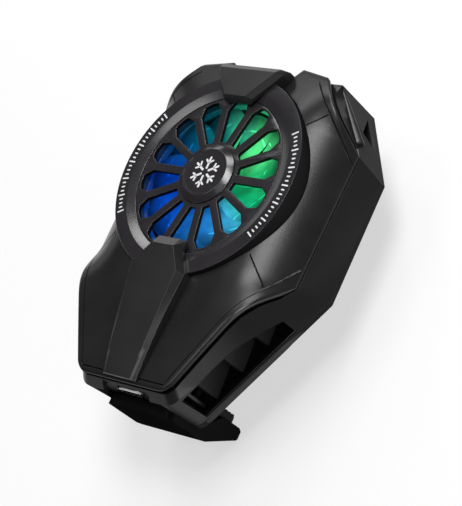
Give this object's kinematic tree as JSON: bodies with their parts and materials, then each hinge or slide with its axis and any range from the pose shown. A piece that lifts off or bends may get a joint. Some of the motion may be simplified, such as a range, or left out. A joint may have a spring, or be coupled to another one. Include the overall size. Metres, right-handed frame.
{
  "type": "phone cooling fan",
  "caption": "Clip-on phone cooler: a lit fan behind a petal grille in a sculpted case with side vents, a cold plate on its back and a sprung clip that grips the phone's edges",
  "frame": {"origin": "where the fan axis meets the outer face of the contact pad that rests on the phone", "axes": "+Z out of the fan face, +Y along the body to the fixed head claw, +X to the right seen from the fan side"},
  "size_m": [0.0594, 0.0785, 0.0352],
  "materials": {
    "shell_black": "satin black moulding",
    "ring_black": "fine satin black moulding",
    "trim_black": "satin black moulding",
    "clip_black": "satin black moulding",
    "rubber_black": "soft black rubber",
    "pad_grey": "thermal silicone sheet",
    "foam_black": "closed cell foam",
    "aluminium": "milled",
    "ceramic_white": "alumina",
    "pellet_alloy": "sintered semiconductor",
    "bronze": "sintered bronze",
    "copper": "enamelled copper wire",
    "steel": "plain steel",
    "plated_steel": "nickel plated",
    "screw_black": "blackened steel",
    "magnet": "bonded ferrite",
    "blade_clear": "translucent moulding",
    "guide_clear": "frosted clear moulding",
    "board_green": "solder mask",
    "chip_black": "moulded epoxy",
    "light_lens": "clear epoxy"
  },
  "bodies": {
    "case": {"front_cover": "shell_black", "ring_bezel": "ring_black", "fan_grille": "ring_black", "hub_cap": "ring_black", "tail_spine": "trim_black", "head_wedge": "trim_black", "mid_frame": "shell_black", "left_vent_slats": "trim_black", "right_vent_slats": "trim_black", "back_cover": "shell_black", "cold_plate": "aluminium", "contact_pad": "pad_grey", "module_ceramics": "ceramic_white", "module_pellets": "pellet_alloy", "foam_gasket": "foam_black", "heat_sink": "aluminium", "fan_frame": "trim_black", "fan_bearing": "bronze", "motor_stator": "steel", "stator_coils": "copper", "light_guide": "guide_clear", "light_board": "board_green", "light_sources": "light_lens", "main_board": "board_green", "board_components": "chip_black", "usb_socket": "plated_steel", "usb_tongue": "chip_black", "head_claw": "clip_black", "claw_pad": "rubber_black", "guide_rods": "steel", "rod_bracket": "steel", "left_spring": "steel", "right_spring": "steel", "case_screws": "screw_black", "sink_screws": "steel", "fan_screws": "screw_black", "bezel_screws": "screw_black", "board_screws": "steel", "claw_screws": "steel"},
    "rotor": {"fan_impeller": "blade_clear", "rotor_magnet": "magnet", "fan_shaft": "steel"},
    "clip": {"slider_clip": "clip_black", "slider_pad": "rubber_black"}
  },
  "joints": [
    {"name": "fan_spin", "type": "hinge", "parent": "case", "child": "rotor", "pos_m": [0, 0, 0.015], "axis": [0, 0, 1], "continuous": true},
    {"name": "clip_slide", "type": "slide", "parent": "case", "child": "clip", "axis": [0, -1, 0], "range_m": [0, 0.016], "stiffness_N_per_m": 200, "springref_m": -0.012, "deforming": ["left_spring", "right_spring"]}
  ]
}
